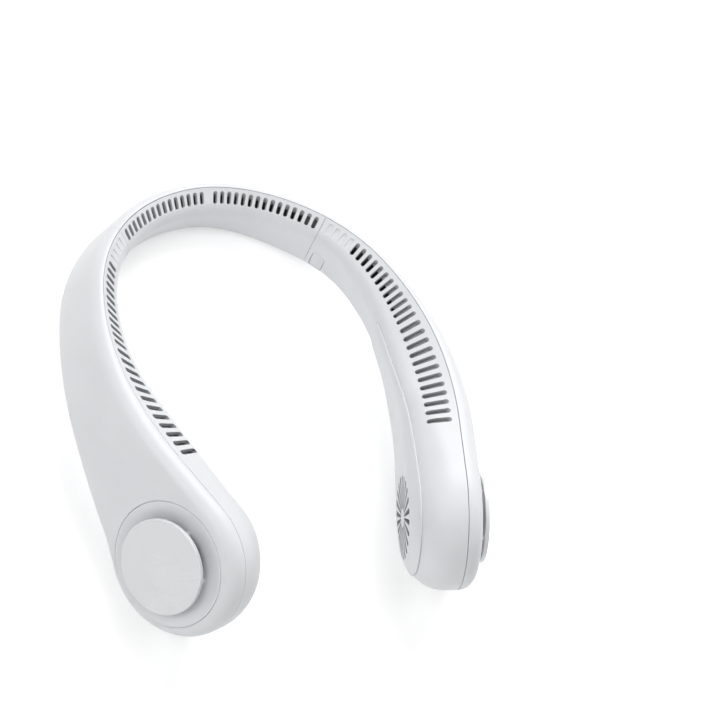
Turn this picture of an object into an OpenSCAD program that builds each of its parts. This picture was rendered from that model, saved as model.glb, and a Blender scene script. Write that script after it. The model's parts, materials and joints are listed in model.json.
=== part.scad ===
// Bladeless neck fan: a rear neck band and two arms that end in round fan paddles.
// Right (+X) and left (-X) are as seen from the front. The band is at +Y, the paddles at -Y, and +Z is up.
// The shells follow one seam line that runs along the band and down each arm.
// A place on a shell is given by its length along that line (s), outwards from it (u) and up from it (v).

/* [Seam line] */
// Radius of the seam line behind the neck, seen from above
neck_r = 75.6; // [68:0.1:84]
// Angle that the neck radius turns through on each side
neck_turn = 68.5; // [62:0.1:72]
// Radius of the seam line beside the neck
side_r = 107.2; // [95:0.1:125]
// Angle that the side radius turns through
side_turn = 28.9; // [26:0.1:33]
// Radius of the seam line where the arm turns in towards its paddle
front_r = 152; // [130:1:190]
// Angle that the front radius turns through
front_turn = 12.6; // [9:0.1:15]
// Climb of the seam line along the arm, as a slope
climb = 0.2; // [0.17:0.005:0.23]
// Length over which the climb starts
climb_run = 61; // [50:1:90]
// Angle that the outer wall leans at, at the back of the neck
back_angle = 4.7; // [0:0.1:10]
// Angle that the outer wall leans at, at the paddle
paddle_angle = 20.9; // [18:0.1:26]

/* [Shells] */
// Height of the band at the middle of its back
back_h = 25; // [22:0.5:28]
// Height of the band and the arms where they join
joint_h = 29.4; // [28:0.1:33]
// Radius of the paddles
paddle_r = 31.9; // [29:0.1:34]
// Depth of the outer shell on the band, from the seam line outwards
band_out = 3.7; // [3.4:0.1:5]
// Depth of the outer shell on the paddle
paddle_out = 7.1; // [6.8:0.1:8]
// Depth of the inner shell on the band, from the seam line inwards
band_in = 10.3; // [10:0.1:12]
// Depth of the inner shell on the paddle
paddle_in = 22.4; // [22.2:0.1:25]
// Rounding of the outer edges
outer_round = 6.5; // [5:0.1:7]
// Rounding of the inner edge on the paddle
paddle_corner = 17; // [14:0.5:18]
// Rounding of the inner edge on the middle of the arm
arm_corner = 6.4; // [5:0.1:8]
// Rounding of the inner edge on the band
band_corner = 4.4; // [3.5:0.1:5]
// Angle that the slotted face slopes at, on the band
top_slope = 26; // [20:1:30]
// Length along the seam line where band and arms meet
joint_s = 57.5; // [56:0.1:58.5]
// Wall of the shells
wall = 1.8; // [1.4:0.1:2]
// Gap that shows as a parting line between the shells
seam_gap = 0.2; // [0.1:0.05:0.3]

/* [Air slots] */
// Slots on each half of the band
band_slots = 15; // [8:1:15]
// Pitch of the slots on the band
band_pitch = 3.6; // [3.4:0.05:3.65]
// Slots in each of the two groups on an arm
arm_slots = 12; // [6:1:12]
// Blind slots next to each joint
blind_slots = 4; // [1:1:4]
// Pitch of the close group on the arm
close_pitch = 3.8; // [3.6:0.05:3.85]
// Pitch of the wide group on the arm
wide_pitch = 4.87; // [4.6:0.05:4.9]
// Length of the slots on the band
short_slot = 5.5; // [5:0.1:6]
// Length of the longest slots on the arm
long_slot = 10.9; // [9:0.1:11.5]
// Width of the close slots
close_slot_w = 1.7; // [1.4:0.1:1.9]
// Width of the wide slots
wide_slot_w = 2.2; // [1.8:0.1:2.6]
// Depth of the blind slots
blind_depth = 0.5; // [0.3:0.1:0.8]

/* [Inner panels] */
// Length along the seam line where the inner panel starts
panel_s = 111; // [108:0.5:116]
// Thickness of the inner panel
panel_t = 2; // [1.6:0.1:2.4]
// How far the inner panel stands proud of the inner shell
panel_proud = 0.8; // [0.4:0.1:1]
// Length of the arched end of the inner panel
panel_arch = 13; // [9:0.5:14]
// Border of the paddle around the grille in its inner panel
grille_border = 13.5; // [13.3:0.1:15.5]
// Radial slots in the grille
grille_slots = 22; // [16:2:26]

/* [Intakes] */
// Border of the paddle around its dished intake ring
ring_border = 5.9; // [5.7:0.1:6.7]
// Depth of the dish around the cap
dish_depth = 2.4; // [1.6:0.1:2.8]
// Width of the dish that shows around the intake cap
cap_border = 6.3; // [5.8:0.1:7]
// How far the cap reaches past the hole in the ring
cap_lap = 4.4; // [3.8:0.1:5.5]
// Thickness of the intake cap
cap_t = 2; // [1.6:0.1:2.4]
// Stand-off of the cap's face over the outer wall
cap_rise = 4.7; // [3.9:0.1:5.5]
// Posts under the cap
cap_posts = 5; // [3:1:6]
// Radius of a post under the cap
post_r = 1.1; // [0.9:0.1:1.4]

/* [Fans] */
// How far the fan, its ring and its grille sit below the middle of the paddle
fan_low = 1.6; // [0:0.1:1.8]
// Clearance between the fan wheel and the scroll around it
wheel_gap = 2.9; // [2.6:0.1:4]
// Height of the fan wheel's blades
blade_h = 12.3; // [11:0.1:12.4]
// Number of blades
blade_count = 30; // [20:1:36]
// Radial length of a blade
blade_l = 5.5; // [4.5:0.1:6]
// Thickness of a blade
blade_t = 0.8; // [0.6:0.1:1]
// Radius of the motor's can
can_r = 10.2; // [9.8:0.1:10.4]
// Radius of the motor shaft
shaft_r = 1; // [0.8:0.05:1.2]
// Running clearance of the shaft in its bush
shaft_fit = 0.03; // [0.02:0.01:0.05]
// Clearance between the scroll housing and the shell around it
scroll_gap = 3.8; // [3.7:0.1:4.5]
// Wall of the scroll housing
scroll_wall = 1.3; // [1:0.1:1.5]

/* [Power] */
// Length of each battery cell
cell_l = 40; // [34:1:41]
// Height of each battery cell
cell_h = 16; // [14:0.5:17]
// Thickness of each battery cell
cell_t = 8; // [7:0.5:8.5]
// Travel of the power button
button_travel = 0.6; // [0.4:0.05:0.8]
// Length of the power button
button_l = 10; // [8:0.1:11]
// Width of the power button
button_w = 4.4; // [4:0.1:5]
// Width of the charging socket's shell, a USB-C socket
usb_w = 8.94; // [8.9:0.02:9]
// Height of the charging socket's shell
usb_h = 3.26; // [3.2:0.02:3.3]
// Depth of the charging socket
usb_d = 7.35; // [6.5:0.05:7.6]

/* [Hidden] */
$fn = 48;

// Overrun of a cut past the face it opens
over = 1;
// How far pieces that are welded into one run into each other
weld = 0.5;
degree = 180 / PI;
quarter_turn = 90;

// Radii in the paddle, each taken from the one outside it
ring_r = paddle_r - ring_border;
cap_r = ring_r - cap_border;
intake_r = cap_r - cap_lap;
grille_r = paddle_r - grille_border;
scroll_r = paddle_r - fan_low - wall - scroll_gap;
wheel_r = scroll_r - scroll_wall - wheel_gap;

// Seam line
neck_len = neck_r * neck_turn / degree;
side_len = side_r * side_turn / degree;
front_len = front_r * front_turn / degree;
flat_border = 1.4;
flat_len = ring_r + flat_border;
side_head = neck_turn + side_turn;
front_head = side_head + front_turn;
side_s = neck_len + side_len;
flat_s = side_s + front_len;
paddle_s = flat_s + flat_len;
neck_end = neck_r * [sin(neck_turn), cos(neck_turn) - 1];
side_end = neck_end + side_r * [sin(side_head) - sin(neck_turn), cos(side_head) - cos(neck_turn)];
front_end = side_end + front_r * [sin(front_head) - sin(side_head), cos(front_head) - cos(side_head)];

function ease(t) = let(c = min(max(t, 0), 1)) c * c * (3 - 2 * c);
function mix(a, b, t) = a + (b - a) * t;
function unit(a) = a / norm(a);
function flip(p) = [-p.x, p.y, p.z];
function heading(s) =
    s < neck_len ? s / neck_r * degree :
    s < side_s ? neck_turn + (s - neck_len) / side_r * degree :
    s < flat_s ? side_head + (s - side_s) / front_r * degree : front_head;
function plan(s) = let(h = heading(s))
    s < neck_len ? neck_r * [sin(h), cos(h) - 1] :
    s < side_s ? neck_end + side_r * [sin(h) - sin(neck_turn), cos(h) - cos(neck_turn)] :
    s < flat_s ? side_end + front_r * [sin(h) - sin(side_head), cos(h) - cos(side_head)] :
    front_end + (s - flat_s) * [cos(h), -sin(h)];
function climb_at(s) = climb * ease(s / climb_run);
function climbed(s) = let(t = s / climb_run)
    climb * (t < 1 ? climb_run * (pow(t, 3) - pow(t, 4) / 2) : s - climb_run / 2);

// Directions along, out of and up from the seam line
lean_start = joint_s / 2;
lean_end = side_s;
function lean(s) = mix(back_angle, paddle_angle, ease((s - lean_start) / (lean_end - lean_start)));
function along(s) = let(h = heading(s)) unit([cos(h), -sin(h), climb_at(s)]);
function level_out(s) = let(h = heading(s)) [sin(h), cos(h), 0];
function level_up(s) = cross(along(s), level_out(s));
function out(s) = cos(lean(s)) * level_out(s) + sin(lean(s)) * level_up(s);
function up(s) = cos(lean(s)) * level_up(s) - sin(lean(s)) * level_out(s);
function raw_place(s, u, v) = s < 0 ? flip(raw_place(-s, u, v)) :
    [plan(s).x, plan(s).y, climbed(s)] + u * out(s) + v * up(s);

// Sizes of the section at a length along the seam line
grow_after = 7.2;
grow_s = neck_len + grow_after;
// Angle that the lower edge falls at where it meets the paddle
fall_angle = 34;
low_s = paddle_s - paddle_r * sin(fall_angle);
low_gain = paddle_r * (1 + cos(fall_angle)) - joint_h;
low_power = tan(fall_angle) * (low_s - grow_s) / low_gain;
// Distances of the slots from the seam line, on the band and on the arm
slot_start = 1.9;
slot_far = 3.3;
slope_before = 14.4;
slope_past = 4.87;
slope_start = neck_len - slope_before;
slope_end = paddle_s + slope_past;
deep_start = joint_s;
deep_end = side_s;
function out_at(s) = mix(band_out, paddle_out, ease((s - neck_len) / (flat_s - neck_len)));
function in_at(s) = mix(band_in, paddle_in, ease((s - deep_start) / (deep_end - deep_start)));
function slope_at(s) = top_slope * (1 - ease((s - slope_start) / (slope_end - slope_start)));
function grown(s) = max(s - grow_s, 0) / (low_s - grow_s);
function low_at(s) = -mix(back_h, joint_h, ease(s / joint_s)) - low_gain * pow(grown(s), low_power);
function fall_at(s) = s > grow_s ?
    atan(low_power * low_gain / (low_s - grow_s) * pow(grown(s), low_power - 1)) : 0;

// Points [s, v] on the side outline, drawn in by d: stations on the arm, then round the paddle
arm_steps = 16;
round_steps = 10;
half_step = quarter_turn / (2 * round_steps + 1);
last = arm_steps + round_steps;
function rim(a, d) = [paddle_s + (paddle_r - d) * cos(a), (paddle_r - d) * sin(a) - paddle_r];
function top_point(i, d, start) = i <= arm_steps ?
    [mix(start, paddle_s, i / arm_steps), -d] :
    rim(mix(quarter_turn, half_step, (i - arm_steps) / round_steps), d);
function low_edge(s, d) = [s + d * sin(fall_at(s)), low_at(s) + d * cos(fall_at(s))];
function low_point(i, d, start) = i <= arm_steps ?
    low_edge(mix(start, low_s, i / arm_steps), d) :
    rim(-mix(quarter_turn + fall_angle, half_step, (i - arm_steps) / round_steps), d);

// Levels of a shell from the seam line to its face: [u, how far the outline is drawn in].
// side is the wall taken off the outline, face the wall taken off the face.
level_steps = 4;
function corner_at(s) = s < side_s ?
    mix(band_corner, arm_corner, ease((s - deep_start) / (deep_end - deep_start))) :
    mix(arm_corner, paddle_corner, ease((s - side_s) / (paddle_s - side_s)));
function out_levels(s, side, face) = [for (j = [0:level_steps]) let(t = quarter_turn * j / level_steps)
    [mix(seam_gap / 2, out_at(s) - face, sin(t)), mix(side, outer_round, 1 - cos(t))]];
function in_levels(s, side, face) = let(depth = in_at(s), corner = corner_at(s)) concat(
    [[-seam_gap / 2, side]],
    [for (j = [0:level_steps]) let(t = quarter_turn * j / level_steps)
        [mix(corner - depth, face - depth, sin(t)), mix(side, corner, 1 - cos(t))]]);

// The slotted face falls inwards from the seam line
function drop(s, u) = u < 0 ? u * tan(slope_at(s)) : 0;

// One skin at a station: its points from the seam line's side over the face to the lower edge
function top_row(p, levels) = [for (q = levels)
    let(t = p(q.y)) raw_place(t.x, q.x, t.y + drop(abs(t.x), q.x))];
function low_row(p, levels) = [for (q = levels) let(t = p(q.y)) raw_place(t.x, q.x, t.y)];
function turned(a) = [for (j = [len(a) - 1:-1:0]) a[j]];
function skin(top, low, levels) = concat(
    top_row(top, levels(abs(top(0).x))), turned(low_row(low, levels(abs(low(0).x)))));

// Stations of an arm and of the band
function arm_skin(i, levels, start) = skin(
    function(d) top_point(i, d, start), function(d) low_point(i, d, start), levels);
band_steps = 24;
band_end = joint_s - seam_gap;
function band_at(i) = mix(-band_end, band_end, i / band_steps);
function band_skin(i, levels) = let(s = band_at(i)) skin(
    function(d) [s, -d], function(d) [s, low_at(abs(s)) + d], levels);

// The part stands on its lowest point, centred from front to back
outer_points = concat(
    [for (i = [0:last]) each arm_skin(i, function(s) out_levels(s, 0, 0), joint_s)],
    [for (i = [0:last]) each arm_skin(i, function(s) in_levels(s, 0, 0), joint_s)],
    [for (i = [0:band_steps]) each band_skin(i, function(s) out_levels(s, 0, 0))],
    [for (i = [0:band_steps]) each band_skin(i, function(s) in_levels(s, 0, 0))]);
lows = [for (p = outer_points) p.z];
backs = [for (p = outer_points) p.y];
stand = [0, -(min(backs) + max(backs)) / 2, -min(lows)];

// Solids from rings of points. Each ring is closed, and its points pair up as j and m - 1 - j.
function side_faces(n, m) = [for (i = [0:n - 2], j = [0:m - 1])
    let(a = i * m + j, b = i * m + (j + 1) % m, c = b + m, d = a + m) each [[a, b, c], [a, c, d]]];
function strip(base, m, j) = [base + j, base + j + 1, base + m - 2 - j, base + m - 1 - j];
function split(f, back) = back ?
    [[f[0], f[2], f[1]], [f[0], f[3], f[2]]] :
    [[f[0], f[1], f[2]], [f[0], f[2], f[3]]];
function end_faces(base, m, back) = [for (j = [0:m / 2 - 2]) each split(strip(base, m, j), back)];
function shut_faces(base, m) = let(h = m / 2, far = base + h, end = base + m - 1) concat(
    [for (j = [0:h / 2 - 2]) each split([base + j, base + j + 1, far - 2 - j, far - 1 - j], false)],
    [for (j = [0:h / 2 - 2]) each split([end - j, end - 1 - j, far + 1 + j, far + j], true)],
    split([base, far - 1, far, end], false));
module solid(rings, shut, inside) {
    n = len(rings);
    m = len(rings[0]);
    faces = concat(
        side_faces(n, m), end_faces(0, m, true),
        shut ? shut_faces((n - 1) * m, m) : end_faces((n - 1) * m, m, false));
    translate(stand)
        polyhedron(points = [for (r = rings) each r], faces = inside ? faces : [for (f = faces) turned(f)]);
}
function both_skins(a, b) = concat(a, turned(b));

// Places on the seam line: local z points out, x up and y along the arm
module at_seam(s, u, v) {
    p = raw_place(s, u, v) + stand;
    a = up(s);
    b = along(s);
    c = out(s);
    multmatrix([[a.x, b.x, c.x, p.x], [a.y, b.y, c.y, p.y], [a.z, b.z, c.z, p.z], [0, 0, 0, 1]]) children();
}
module at_fan() {
    at_seam(paddle_s, 0, -paddle_r - fan_low) children();
}
// Places on the lower edge: local z points down and out of the edge, y along it
module at_low(s, u) {
    at_seam(s, u, low_at(s)) rotate([0, 0, fall_at(s)]) rotate([0, -90, 0]) children();
}
module mirrored(left) {
    mirror([left ? 1 : 0, 0, 0]) children();
}

// Slots. A slot runs across the slotted face, from near the seam line inwards.
skew_angle = 9;
cut_depth = band_out + wall;
function slot_l(s) = mix(short_slot, long_slot, ease((s - blind_s) / (side_s - blind_s)));
function slot_in(s) = mix(slot_start, slot_far, ease((s - blind_s) / (side_s - blind_s)));
blind_s = joint_s + close_pitch;
open_s = blind_s + blind_slots * close_pitch;
wide_s = open_s + (arm_slots - 1) * close_pitch + wide_pitch;
module slot(s, w, depth) {
    side = sign(s);
    a = abs(s);
    mirrored(side < 0)
        at_seam(a, 0, 0)
            rotate([0, slope_at(a), 0])
                rotate([skew_angle * ease((a - neck_len) / paddle_s), 0, 0])
                    hull() {
                        for (z = [-slot_in(a) - w / 2, w / 2 - slot_in(a) - slot_l(a)])
                            translate([-depth, 0, z])
                                rotate([0, 90, 0]) cylinder(h = depth + over, d = w, $fn = 8);
                    }
}
module band_slot_cuts() {
    for (k = [0:band_slots - 1], side = [-1, 1])
        slot(side * (k + 1) * band_pitch, close_slot_w, cut_depth);
}
module arm_slot_cuts() {
    for (k = [0:blind_slots - 1])
        slot(blind_s + k * close_pitch, close_slot_w, blind_depth);
    for (k = [0:arm_slots - 1]) {
        slot(open_s + k * close_pitch, close_slot_w, cut_depth);
        slot(wide_s + k * wide_pitch, wide_slot_w, cut_depth);
    }
}

// Inner panel: its edge lies part of the way round the inner edge, and its rear end is an arch.
// proud is how far a skin stands over the inner shell, wider how far its edge is let out.
edge_angle = 52;
fit = 0.15;
rest = 0.05;
panel_steps = 2;
function panel_levels(s, proud, wider) = let(depth = in_at(s), corner = corner_at(s))
    [for (j = [0:panel_steps])
        let(t = mix(edge_angle, quarter_turn, j / panel_steps), w = j == 0 ? wider : 0) [
        mix(corner - depth, -depth, sin(t)) - proud * sin(t) + w * cos(t),
        mix(0, corner, 1 - cos(t)) - proud * cos(t) - w * sin(t)]];
module panel_blank(proud, deep, wider) {
    high = function(s) panel_levels(s, proud, wider);
    low = function(s) panel_levels(s, -deep, wider);
    difference() {
        solid([for (i = [0:last])
            both_skins(arm_skin(i, high, panel_s - wider), arm_skin(i, low, panel_s - wider))], true, false);
        panel_arch_cut(wider);
    }
}
module panel_arch_cut(wider) {
    half = -low_at(panel_s) / 2;
    half_w = half - corner_at(panel_s) * (1 - cos(edge_angle)) + wider;
    reach = panel_arch + wider;
    deep = 2 * in_at(panel_s);
    at_seam(panel_s + panel_arch, -deep, -half) linear_extrude(deep) difference() {
        translate([-half, -2 * reach]) square([2 * half, 2 * reach]);
        scale([half_w, reach]) circle(1, $fn = 24);
    }
}
grille_in = grille_r / 4;
grille_w = 2.4;
module grille_slot() {
    cut = panel_t + 3 * over;
    hull() {
        translate([grille_in, 0, 0]) cylinder(h = cut, d = grille_w / 4, $fn = 6);
        translate([grille_r - grille_w / 2, 0, 0]) cylinder(h = cut, d = grille_w, $fn = 6);
    }
}
module inner_panel(left) {
    color("whitesmoke") mirrored(left) difference() {
        panel_blank(panel_proud, panel_t - panel_proud, 0);
        at_fan() translate([0, 0, -paddle_in - panel_proud - over])
            for (k = [0:grille_slots - 1])
                rotate([0, 0, 360 * k / grille_slots]) grille_slot();
    }
}

// Shell halves
face_wall = wall + panel_t - panel_proud;
function inner_face_wall(s) = mix(wall, face_wall, ease((s - panel_s + panel_arch) / panel_arch));
module arm_half(outer) {
    skin_out = outer ? function(s) out_levels(s, 0, 0) : function(s) in_levels(s, 0, 0);
    skin_in = outer ?
        function(s) out_levels(s, wall, wall) : function(s) in_levels(s, wall, inner_face_wall(s));
    solid([for (i = [0:last])
        both_skins(arm_skin(i, skin_out, joint_s), arm_skin(i, skin_in, joint_s))], true, outer);
}
module band_half(outer) {
    skin_out = outer ? function(s) out_levels(s, 0, 0) : function(s) in_levels(s, 0, 0);
    skin_in = outer ? function(s) out_levels(s, wall, wall) : function(s) in_levels(s, wall, wall);
    solid([for (i = [0:band_steps]) both_skins(band_skin(i, skin_out), band_skin(i, skin_in))], false, outer);
}
module neck_band_outer() {
    color("whitesmoke") band_half(true);
}
module neck_band_inner() {
    color("whitesmoke") difference() {
        band_half(false);
        band_slot_cuts();
    }
}

// Screw posts of the arm shells at [s, v], some shares of the shell's height down from the seam line
post_shares = [0.55, 0.4, 0.66];
screw_r = 1.1;
screw_head_r = 2.1;
screw_head_h = 1;
post_wall = 1.1;
screw_places = [
    [panel_s + panel_arch + screw_head_r, low_at(panel_s) * post_shares[0]],
    [side_s + panel_arch, low_at(side_s) * post_shares[1]],
    [side_s + 2 * panel_arch, low_at(side_s) * post_shares[2]]
];
post_gap = 0.4;
screw_sunk = panel_t - panel_proud + post_gap;
module arm_outer(left) {
    ledge = wall / 2;
    color("whitesmoke") mirrored(left) difference() {
        union() {
            arm_half(true);
            for (p = screw_places)
                at_seam(p[0], 0, p[1]) post(face_wall + post_gap - in_at(p[0]), out_at(p[0]) - wall / 2);
            for (y = [-1, 1])
                at_seam(cell_s, 0, cell_v) translate([0, y * cell_l / 3, 0])
                    post(rest - cell_out, out_at(cell_s) - wall);
            if (!left) at_board_screws() post(rest, board_post);
        }
        for (p = screw_places)
            at_seam(p[0], 0, p[1]) translate([0, 0, -in_at(p[0])]) cylinder(h = in_at(p[0]), r = screw_r);
        if (!left) at_board_screws() translate([0, 0, -over]) cylinder(h = board_post, r = screw_r);
        at_fan() {
            translate([0, 0, paddle_out - ledge]) cylinder(h = ledge + over, r = ring_r + rest);
            translate([0, 0, paddle_out - wall - over]) cylinder(h = wall + 2 * over, r = ring_r - wall);
        }
    }
}
module post(low, high) {
    translate([0, 0, low]) cylinder(h = high - low, r = screw_r + post_wall);
}
module arm_inner(left) {
    color("whitesmoke") mirrored(left) difference() {
        arm_half(false);
        arm_slot_cuts();
        panel_blank(over, panel_t - panel_proud + rest, fit);
        at_fan() translate([0, 0, -paddle_in - over])
            cylinder(h = face_wall + 4 * over, r = grille_r + fit);
        joint_plug_shape(fit, over);
        joint_screw_shape(fit);
        for (p = screw_places)
            at_seam(p[0], 0, p[1]) translate([0, 0, -in_at(p[0])]) {
                cylinder(h = 2 * face_wall, r = screw_r + fit);
                cylinder(h = screw_sunk + screw_head_h + rest, r = screw_head_r + fit);
            }
        if (!left) power_cuts();
    }
}
module shell_screws(left) {
    shank = in_at(side_s) / 2;
    color("silver") mirrored(left)
        for (p = screw_places)
            at_seam(p[0], 0, p[1]) translate([0, 0, screw_sunk - in_at(p[0])]) difference() {
                union() {
                    cylinder(h = screw_head_h, r = screw_head_r);
                    cylinder(h = shank, r = screw_r - rest);
                }
                for (a = [0, quarter_turn])
                    rotate([0, 0, a]) translate([-screw_r, -screw_r / 6, -over])
                        cube([2 * screw_r, screw_r / 3, over + screw_head_h / 2]);
            }
}

// Joint between band and arm: a slit sleeve inside both, a grub screw through it and a plug over that
sleeve_reach = 9;
sleeve_wall = 1.2;
sleeve_steps = 4;
plug_w = 7.6;
plug_h = 11;
plug_t = 1.1;
plug_gap = 2;
plug_s = joint_s + plug_gap + plug_w / 2;
plug_low = 11.8;
plug_v = low_at(plug_s) + plug_low;
grub_l = 3.4;
function chain(s, deep) = let(
    top = function(d) [s, -d], low = function(d) [s, low_at(s) + d],
    a = out_levels(s, deep, deep), b = in_levels(s, deep, deep)
) concat(top_row(top, a), turned(low_row(low, a)), low_row(low, b), turned(top_row(top, b)));
module joint_sleeve(left) {
    color("gainsboro") mirrored(left) difference() {
        solid([for (i = [0:sleeve_steps])
            let(s = joint_s + mix(-sleeve_reach, sleeve_reach, i / sleeve_steps))
            both_skins(chain(s, wall + fit), chain(s, wall + fit + sleeve_wall))], false, true);
        joint_screw_shape(0);
    }
}
module at_plug() {
    at_seam(plug_s, -in_at(plug_s), plug_v) children();
}
// A plug with a round top, wider all round, that sticks out of the face by proud
module joint_plug_shape(wider, proud) {
    side = plug_w + 2 * wider;
    at_plug() translate([0, 0, -proud]) linear_extrude(plug_t + rest + proud - (proud > 0 ? 0 : rest)) {
        translate([plug_w / 2 - plug_h - wider, -side / 2]) square([plug_h - plug_w / 2 + wider, side]);
        circle(d = side);
    }
}
module joint_screw_shape(wider) {
    at_plug() translate([0, 0, plug_t + rest - wider]) cylinder(h = grub_l + 2 * wider, r = screw_r + wider);
}
module joint_plug(left) {
    color("whitesmoke") mirrored(left) joint_plug_shape(0, 0);
}
module joint_screw(left) {
    color("silver") mirrored(left) difference() {
        at_plug() translate([0, 0, plug_t + 2 * rest]) cylinder(h = grub_l, r = screw_r - rest);
        at_plug() translate([0, 0, plug_t]) cylinder(h = grub_l / 3, r = screw_r / 2, $fn = 6);
    }
}

// Outer face of the paddle: a dished ring and a cap on posts
dish_z = paddle_out - dish_depth;
ring_t = 1.5;
ring_edge = 0.8;
cap_z = paddle_out + cap_rise;
post_in = 0.1;
post_at = intake_r + post_in + post_r;
post_share = 0.9;
module intake_ring(left) {
    neck = ring_r - wall - fit;
    color("whitesmoke") mirrored(left) at_fan() rotate_extrude($fn = 96) polygon([
        [intake_r, dish_z - ring_t], [cap_r + ring_edge, dish_z - ring_t],
        [neck, paddle_out - wall - ring_edge], [neck, paddle_out - wall / 2],
        [ring_r, paddle_out - wall / 2], [ring_r, paddle_out],
        [ring_r - ring_edge, paddle_out], [cap_r, dish_z], [intake_r, dish_z]]);
}
module intake_cap(left) {
    edge = cap_t / 4;
    color("whitesmoke") mirrored(left) at_fan() {
        rotate_extrude($fn = 96) polygon([
            [0, cap_z - cap_t], [cap_r - edge, cap_z - cap_t], [cap_r, cap_z - cap_t + edge],
            [cap_r, cap_z - edge], [cap_r - edge, cap_z], [0, cap_z]]);
        for (k = [0:cap_posts - 1])
            rotate([0, 0, 360 * (k + post_share) / cap_posts]) translate([post_at, 0, dish_z])
                cylinder(h = cap_z - cap_t - dish_z, r = post_r);
    }
}

// Fans: heights on the paddle's own axis, from the seam line outwards
scroll_floor = -12.6;
scroll_t = 1.5;
ring_clear = 0.5;
scroll_top = paddle_out - wall - ring_edge - ring_clear;
inlet_gap = 1.5;
inlet_r = wheel_r - blade_l - inlet_gap;
boss_r = 10;
spoke_count = 3;
spoke_w = 3;
foot_r = 1.6;
foot_gap = 0.25;
foot_at = grille_r + fit + foot_gap + foot_r;
foot_count = 3;
mouth_border = 6.4;
mouth_w = 2 * (scroll_r - mouth_border);
blade_low = -11.1;
wheel_ring_t = 0.8;
web_z = -5;
can_low = -11.2;
can_top = -3.2;
can_wall = 0.9;
can_floor = 1;
magnet_t = 0.8;
magnet_h = 6;
air_gap = 0.3;
stator_r = can_r - can_wall - magnet_t - air_gap;
stator_h = 5.5;
stator_teeth = 6;
stator_slot_w = 2;
bush_r = 2.4;
bush_top = can_top - can_floor - air_gap;
shaft_rise = 0.4;
shaft_low = scroll_floor + shaft_rise;
shaft_proud = 0.5;
hub_wall = 1.1;
blade_sunk = 0.12;
// Places of the feet round the fan's axis, and the height of the inner shell's inside under a foot
// whose place is given from the middle of the paddle
function foot_place(k) = foot_at * [cos(360 * k / foot_count), sin(360 * k / foot_count)];
function foot_end_at(place) = let(
    d = paddle_r - norm(place) - foot_r, t = acos(1 - (d - wall) / (paddle_corner - wall))
) mix(paddle_corner - paddle_in, face_wall - paddle_in, sin(t)) + foot_gap;
module ring_at(z, h, outer, inner) {
    translate([0, 0, z]) difference() {
        cylinder(h = h, r = outer, $fn = 96);
        translate([0, 0, -over]) cylinder(h = h + 2 * over, r = inner, $fn = 96);
    }
}
module scroll_housing(left) {
    color("gainsboro") mirrored(left) at_fan() {
        ring_at(scroll_floor - scroll_t, scroll_t, scroll_r, inlet_r);
        difference() {
            ring_at(scroll_floor - rest, scroll_top - scroll_floor + rest, scroll_r, scroll_r - scroll_wall);
            translate([-mouth_w / 2, -scroll_r - over, scroll_floor])
                cube([mouth_w, scroll_r, scroll_top - scroll_floor + over]);
        }
        difference() {
            translate([0, 0, scroll_floor - scroll_t]) union() {
                cylinder(h = scroll_t, r = boss_r);
                for (k = [0:spoke_count - 1])
                    rotate([0, 0, 360 * (k + 0.5) / spoke_count]) translate([0, -spoke_w / 2, 0])
                        cube([inlet_r + over, spoke_w, scroll_t]);
            }
            translate([0, 0, scroll_floor - scroll_t / 2]) cylinder(h = scroll_t, r = bush_r + rest);
        }
        for (k = [0:foot_count - 1])
            let(place = foot_place(k), low = foot_end_at(place - [fan_low, 0]))
            translate([place.x, place.y, low])
                cylinder(h = scroll_floor - scroll_t / 2 - low, r = foot_r);
    }
}
module motor_bush(left) {
    low = scroll_floor - scroll_t / 2;
    color("goldenrod") mirrored(left) at_fan() ring_at(low, bush_top - low, bush_r, shaft_r + shaft_fit);
}
module motor_stator(left) {
    color("peru") mirrored(left) at_fan() translate([0, 0, blade_low]) difference() {
        ring_at(0, stator_h, stator_r, bush_r + rest);
        for (k = [0:stator_teeth - 1])
            rotate([0, 0, 360 * k / stator_teeth]) translate([stator_r / 2, -stator_slot_w / 2, -over])
                cube([stator_r, stator_slot_w, stator_h + 2 * over]);
    }
}
module motor_can(left) {
    color("silver") mirrored(left) at_fan() difference() {
        translate([0, 0, can_low]) cylinder(h = can_top - can_low, r = can_r, $fn = 96);
        translate([0, 0, can_low - over])
            cylinder(h = can_top - can_floor - can_low + over, r = can_r - can_wall, $fn = 96);
        translate([0, 0, can_top - 2 * can_floor]) cylinder(h = 3 * can_floor, r = shaft_r);
    }
}
module motor_magnet(left) {
    low = can_top - can_floor - rest - magnet_h;
    color("dimgray") mirrored(left) at_fan()
        ring_at(low, magnet_h, can_r - can_wall - rest, can_r - can_wall - magnet_t);
}
module motor_shaft(left) {
    color("silver") mirrored(left) at_fan()
        translate([0, 0, shaft_low]) cylinder(h = can_top + shaft_proud - shaft_low, r = shaft_r);
}
module fan_wheel(left) {
    hub_r = can_r + rest;
    color("lightgray") mirrored(left) at_fan() {
        ring_at(web_z - can_floor, can_top - web_z + can_floor, hub_r + hub_wall, hub_r);
        ring_at(web_z - can_floor, can_floor, wheel_r - blade_l + 2 * weld, hub_r + hub_wall - weld);
        ring_at(blade_low - wheel_ring_t, wheel_ring_t, wheel_r, wheel_r - blade_l);
        ring_at(blade_low + blade_h, wheel_ring_t, wheel_r, wheel_r - blade_l);
        for (k = [0:blade_count - 1])
            rotate([0, 0, 360 * k / blade_count])
                translate([wheel_r - blade_l - blade_sunk, -blade_t / 2, blade_low - wheel_ring_t / 2])
                    cube([blade_l, blade_t, blade_h + wheel_ring_t]);
    }
}

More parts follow.
